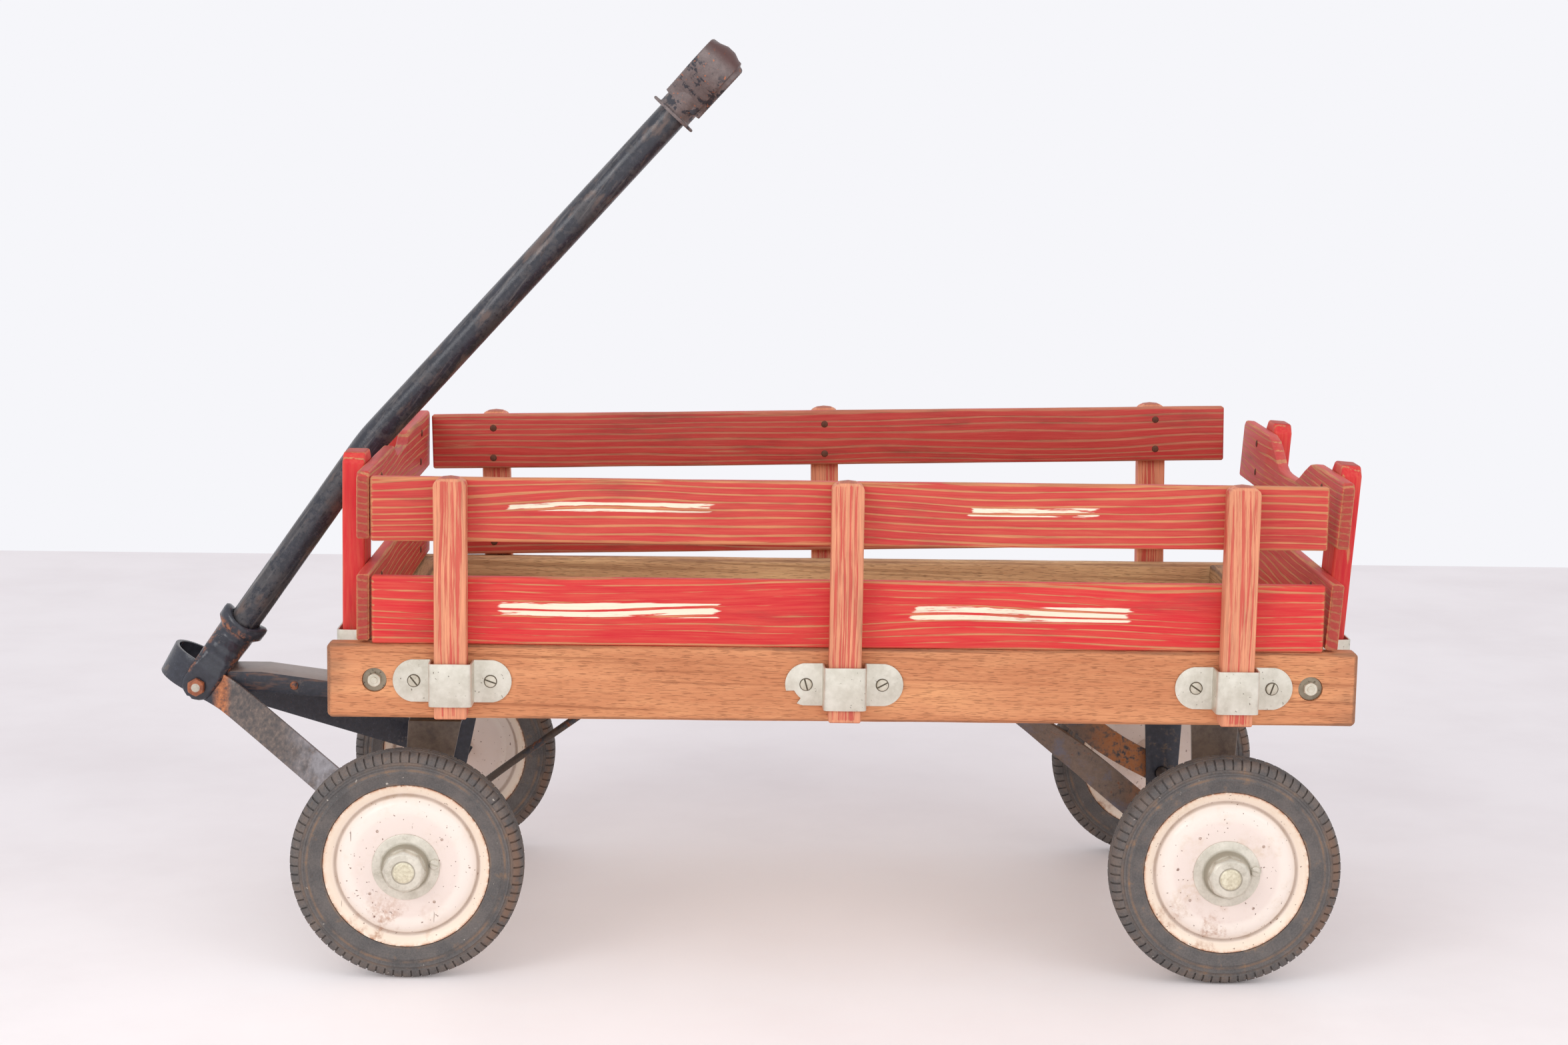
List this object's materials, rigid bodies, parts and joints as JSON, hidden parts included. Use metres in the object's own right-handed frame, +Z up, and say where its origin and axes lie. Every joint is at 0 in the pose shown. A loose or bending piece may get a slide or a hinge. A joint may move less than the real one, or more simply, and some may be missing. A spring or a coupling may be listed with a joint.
{
  "type": "kids pull wagon",
  "caption": "Child's wooden stake-side pull wagon with lift-out slatted sides and tailgate, pressed-steel running gear and a steering handle.",
  "frame": {"origin": "on the ground under the middle of the wagon's overall box", "axes": "+Z up; +X towards the tailgate, so the handle and steered wheels are at -X; +Y to the wagon's right side as it is pulled (the far side)"},
  "size_m": [1.1061, 0.5232, 0.8364],
  "materials": {
    "bare_wood": "bare oiled wood, worn, open grain",
    "red_wood": "worn red paint over wood, streaked along the grain",
    "stake_wood": "mostly bare orange wood with traces of red paint",
    "galvanised": "dull galvanised zinc",
    "black_steel": "worn black enamel with rust at the edges",
    "rusty_steel": "old paint gone to brown rust",
    "worn_steel": "dark steel rubbed bare and shiny",
    "wheel_paint": "cream enamel with rust specks",
    "tyre": "aged dusty rubber"
  },
  "bodies": {
    "wagon": {"sill_near": "bare_wood", "sill_far": "bare_wood", "end_board_front": "bare_wood", "end_board_rear": "bare_wood", "floor_board_1": "bare_wood", "floor_board_2": "bare_wood", "floor_board_3": "bare_wood", "front_bolster_block": "bare_wood", "stake_pocket_near_1": "galvanised", "stake_pocket_near_2": "galvanised", "stake_pocket_near_3": "galvanised", "stake_pocket_far_1": "galvanised", "stake_pocket_far_2": "galvanised", "stake_pocket_far_3": "galvanised", "post_pocket_front_near": "galvanised", "post_pocket_front_far": "galvanised", "post_pocket_rear_near": "galvanised", "post_pocket_rear_far": "galvanised", "gate_front_lower_board": "red_wood", "gate_front_upper_board": "red_wood", "gate_front_post_near": "red_wood", "gate_front_post_far": "red_wood", "rear_bolster": "black_steel", "turntable_plate": "black_steel", "rear_brace_near": "rusty_steel", "rear_brace_far": "rusty_steel", "king_pin": "rusty_steel", "kingpin_brace": "rusty_steel", "rear_axle": "worn_steel"},
    "front_truck": {"front_bolster": "black_steel", "front_axle": "worn_steel", "draught_strap": "black_steel", "tongue_channel": "black_steel", "pivot_bolt": "rusty_steel"},
    "handle": {"handle_fork": "black_steel", "handle_tube": "worn_steel", "handle_grip": "rusty_steel"},
    "near_rack": {"rack_near_lower_rail": "red_wood", "rack_near_upper_rail": "red_wood", "rack_near_stake_1": "stake_wood", "rack_near_stake_2": "stake_wood", "rack_near_stake_3": "stake_wood"},
    "far_rack": {"rack_far_lower_rail": "red_wood", "rack_far_upper_rail": "red_wood", "rack_far_stake_1": "stake_wood", "rack_far_stake_2": "stake_wood", "rack_far_stake_3": "stake_wood"},
    "rear_gate": {"gate_rear_lower_board": "red_wood", "gate_rear_upper_board": "red_wood", "gate_rear_post_near": "red_wood", "gate_rear_post_far": "red_wood"},
    "wheel_front_near": {"tyre_front_near": "tyre", "disc_front_near": "wheel_paint"},
    "wheel_front_far": {"tyre_front_far": "tyre", "disc_front_far": "wheel_paint"},
    "wheel_rear_near": {"tyre_rear_near": "tyre", "disc_rear_near": "wheel_paint"},
    "wheel_rear_far": {"tyre_rear_far": "tyre", "disc_rear_far": "wheel_paint"}
  },
  "joints": [
    {"name": "steering", "type": "hinge", "parent": "wagon", "child": "front_truck", "pos_m": [-0.2821, 0, 0.2], "axis": [0, 0, 1], "range_deg": [-22, 22]},
    {"name": "handle_pitch", "type": "hinge", "parent": "front_truck", "child": "handle", "pos_m": [-0.5136, 0, 0.2217], "axis": [0, -1, 0], "range_deg": [0, 144]},
    {"name": "spin_front_near", "type": "hinge", "parent": "front_truck", "child": "wheel_front_near", "pos_m": [-0.2941, -0.2127, 0.1034], "axis": [0, 1, 0], "continuous": true},
    {"name": "spin_front_far", "type": "hinge", "parent": "front_truck", "child": "wheel_front_far", "pos_m": [-0.2941, 0.2127, 0.1034], "axis": [0, 1, 0], "continuous": true},
    {"name": "spin_rear_near", "type": "hinge", "parent": "wagon", "child": "wheel_rear_near", "pos_m": [0.4339, -0.2127, 0.1034], "axis": [0, 1, 0], "continuous": true},
    {"name": "spin_rear_far", "type": "hinge", "parent": "wagon", "child": "wheel_rear_far", "pos_m": [0.4339, 0.2127, 0.1034], "axis": [0, 1, 0], "continuous": true},
    {"name": "near_rack_lift", "type": "slide", "parent": "wagon", "child": "near_rack", "axis": [0, 0, 1], "range_m": [0, 0.08]},
    {"name": "far_rack_lift", "type": "slide", "parent": "wagon", "child": "far_rack", "axis": [-0.0227, 0, 0.9997], "range_m": [0, 0.08]},
    {"name": "rear_gate_lift", "type": "slide", "parent": "wagon", "child": "rear_gate", "axis": [0.0645, -0.0006, 0.9979], "range_m": [0, 0.08]}
  ]
}
